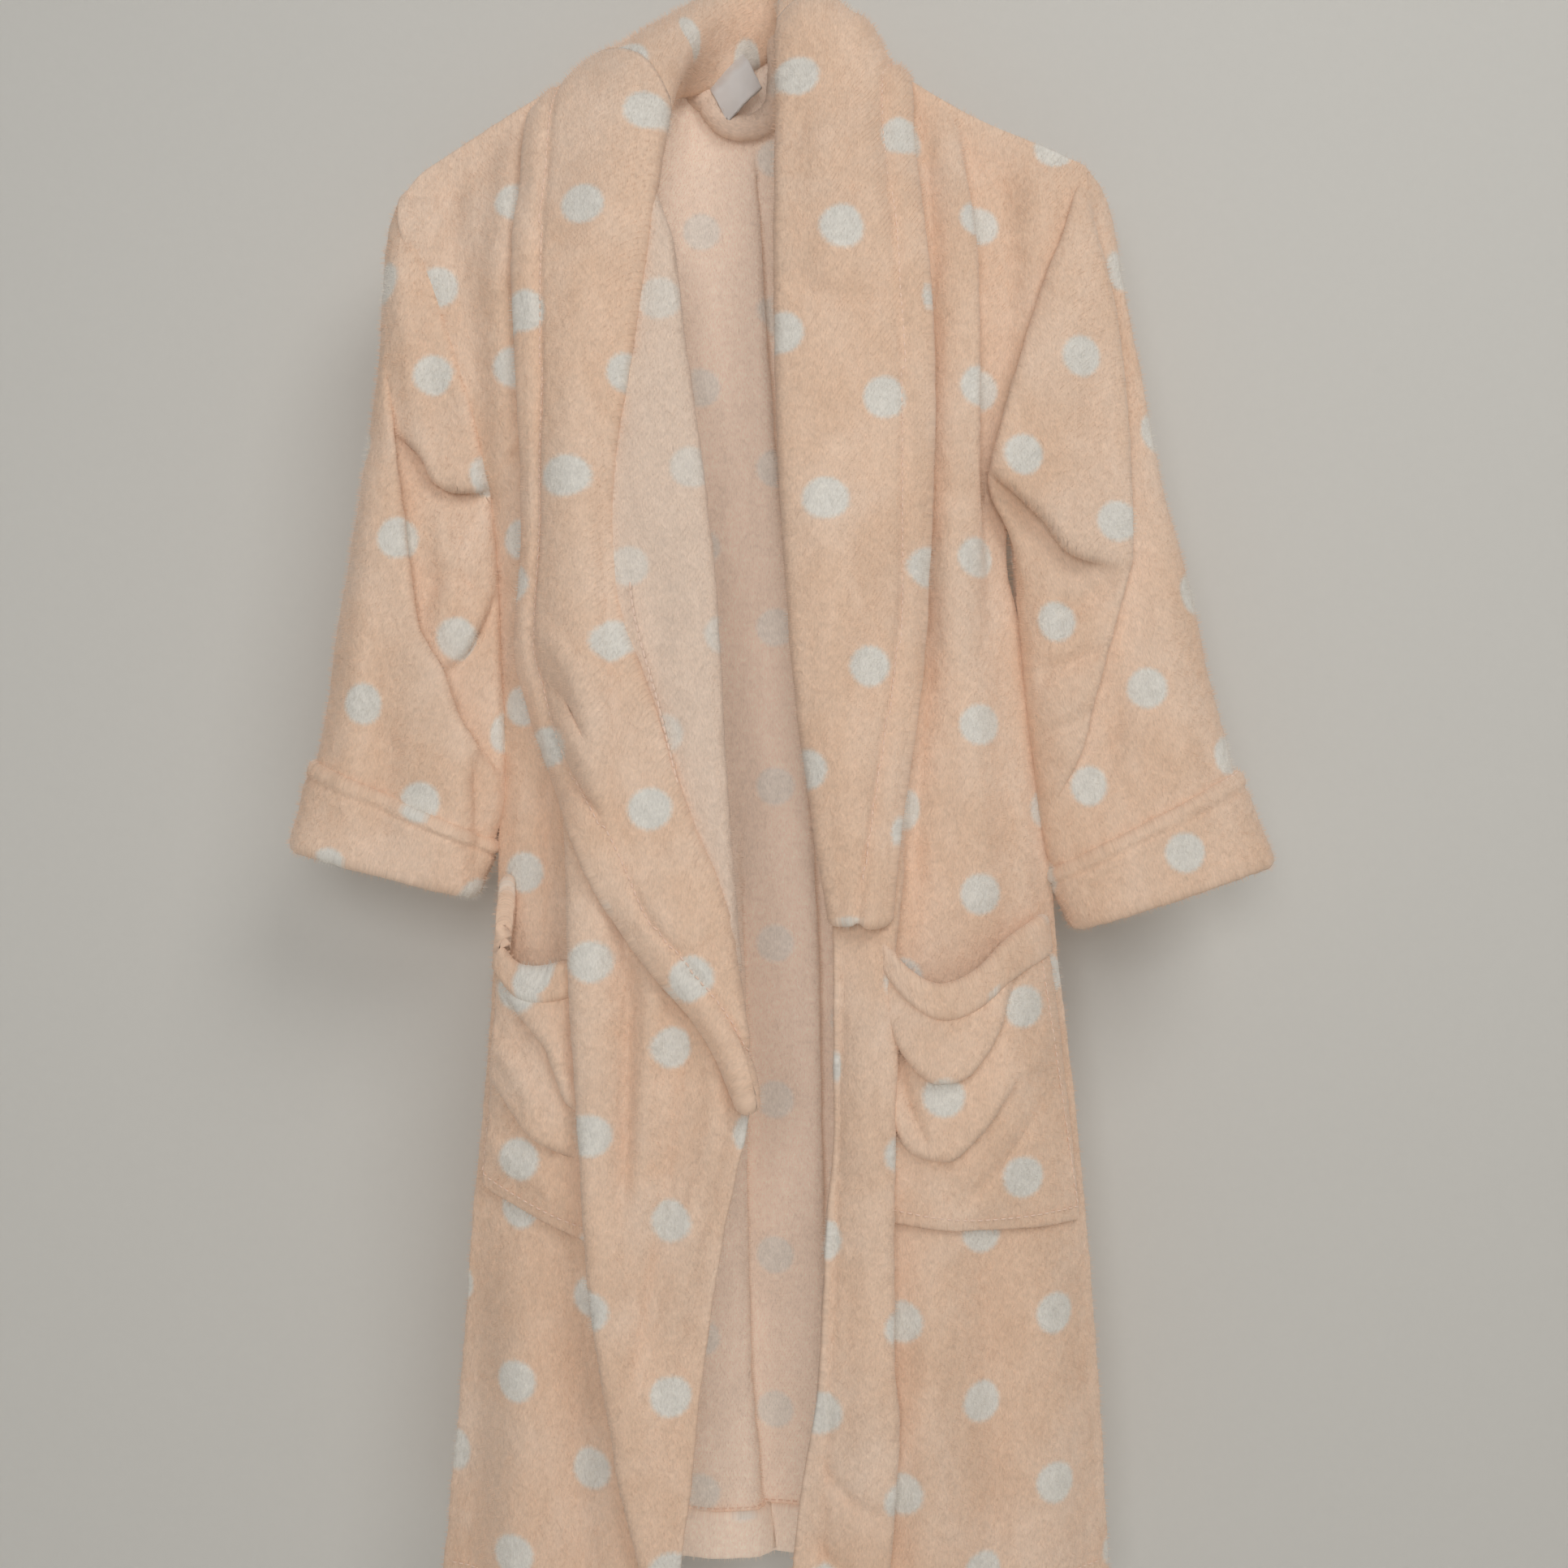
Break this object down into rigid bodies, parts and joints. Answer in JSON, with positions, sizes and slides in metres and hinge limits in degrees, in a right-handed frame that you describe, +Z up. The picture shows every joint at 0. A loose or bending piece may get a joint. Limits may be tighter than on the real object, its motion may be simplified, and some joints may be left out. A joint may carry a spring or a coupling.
{
  "type": "bathrobe",
  "caption": "Plush shawl-collar bathrobe, shaped as it hangs: open front, patch pockets, turned cuffs, a hanging loop inside the neck and loops for a belt.",
  "frame": {"origin": "centre of the round opening of the hanging loop, inside the back of the neck", "axes": "+Z up with the robe hanging, the front faces -Y, +X towards the wearer's left"},
  "size_m": [0.6652, 0.1746, 1.07],
  "materials": {
    "fleece": "plush coral fleece, peach with pale round dots",
    "fleece_inside": "back of the fleece, paler, with the dots showing through",
    "thread": "sewing thread sunk in the pile",
    "satin": "woven satin label, blank"
  },
  "bodies": {
    "torso": {"back_panel": "fleece", "back_hem": "fleece_inside", "back_hem_stitch": "thread", "neck_collar": "fleece", "left_belt_loop": "fleece", "right_belt_loop": "fleece"},
    "left_arm": {"left_sleeve": "fleece", "left_cuff": "fleece", "left_cuff_stitch": "thread"},
    "right_arm": {"right_sleeve": "fleece", "right_cuff": "fleece", "right_cuff_stitch": "thread"},
    "left_front": {"left_front_panel": "fleece", "left_lapel": "fleece", "left_lapel_stitch": "thread", "left_front_facing": "fleece_inside", "left_facing_stitch": "thread", "left_front_hem": "fleece_inside", "left_hem_stitch": "thread", "left_pocket": "fleece", "left_pocket_band": "fleece", "left_pocket_stitch": "thread"},
    "right_front": {"right_front_panel": "fleece", "right_lapel": "fleece", "right_lapel_stitch": "thread", "right_front_facing": "fleece_inside", "right_facing_stitch": "thread", "right_front_hem": "fleece_inside", "right_hem_stitch": "thread", "right_pocket": "fleece", "right_pocket_band": "fleece", "right_pocket_stitch": "thread"},
    "loop": {"hanging_loop": "fleece"},
    "label": {"care_label": "satin"}
  },
  "joints": [
    {"name": "left_sleeve_raise", "type": "hinge", "parent": "torso", "child": "left_arm", "pos_m": [0.231, -0.046, -0.079], "axis": [0, -1, 0], "range_deg": [0, 45]},
    {"name": "right_sleeve_raise", "type": "hinge", "parent": "torso", "child": "right_arm", "pos_m": [-0.231, -0.046, -0.079], "axis": [0, 1, 0], "range_deg": [0, 45]},
    {"name": "left_front_open", "type": "hinge", "parent": "torso", "child": "left_front", "pos_m": [0.231, -0.046, -0.079], "axis": [-0.0127, 0, 0.9999], "range_deg": [0, 60]},
    {"name": "right_front_open", "type": "hinge", "parent": "torso", "child": "right_front", "pos_m": [-0.231, -0.046, -0.079], "axis": [0.034, 0, -0.9994], "range_deg": [0, 60]},
    {"name": "loop_flip", "type": "hinge", "parent": "torso", "child": "loop", "pos_m": [0, 0, 0.034], "axis": [-1, 0, 0], "range_deg": [0, 90]},
    {"name": "label_flip", "type": "hinge", "parent": "loop", "child": "label", "pos_m": [0, 0, 0.034], "axis": [-1, 0, 0], "range_deg": [0, 110]}
  ]
}
